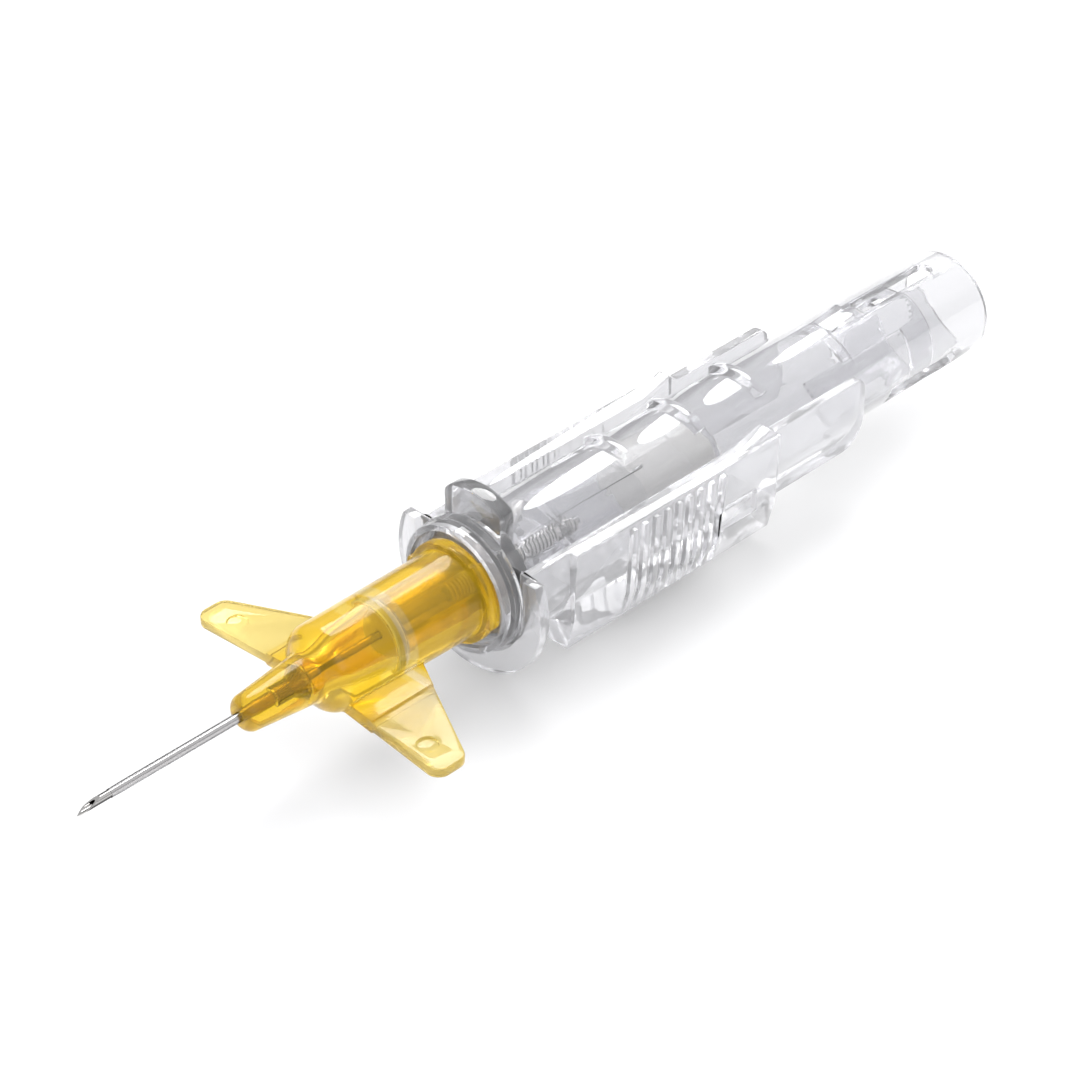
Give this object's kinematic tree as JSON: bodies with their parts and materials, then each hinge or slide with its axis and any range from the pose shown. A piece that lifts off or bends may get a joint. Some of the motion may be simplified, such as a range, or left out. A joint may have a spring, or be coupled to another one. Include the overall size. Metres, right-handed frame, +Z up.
{
  "type": "winged safety iv cannula",
  "caption": "Winged intravenous cannula: steel needle in a coloured hub, clear sliding needle guard in a ribbed clear handle with a flash chamber",
  "frame": {"origin": "on the resting plane, under the middle of the bounding box", "axes": "+Y from the needle point towards the rear of the guard along the needle, +X to the side of the near wing in the picture, +Z up, to the side that the bevel faces"},
  "size_m": [0.0244, 0.0866, 0.0145],
  "materials": {
    "clear_handle": "polished clear",
    "clear_chamber": "polished clear",
    "plug_porous": "porous, matt",
    "needle_steel": "polished",
    "sleeve_steel": "polished",
    "clear_guard": "polished clear",
    "clear_insert": "polished clear",
    "hub_yellow": "translucent gloss",
    "catheter_clear": "clear",
    "eyelet_steel": "polished",
    "seal_white": "soft, matt"
  },
  "bodies": {
    "handle_body": {"handle": "clear_handle", "flash_chamber": "clear_chamber", "vent_plug": "plug_porous", "needle": "needle_steel", "needle_sleeve": "sleeve_steel"},
    "guard_body": {"needle_guard": "clear_guard", "guard_lock_insert": "clear_insert"},
    "catheter_body": {"catheter_hub": "hub_yellow", "catheter_tube": "catheter_clear", "eyelet": "eyelet_steel", "hub_seal": "seal_white"}
  },
  "joints": [
    {"name": "guard_slide", "type": "slide", "parent": "handle_body", "child": "guard_body", "axis": [0, -1, 0], "range_m": [0, 0.028]},
    {"name": "catheter_slide", "type": "slide", "parent": "guard_body", "child": "catheter_body", "axis": [0, -1, 0], "range_m": [0, 0.036]}
  ]
}
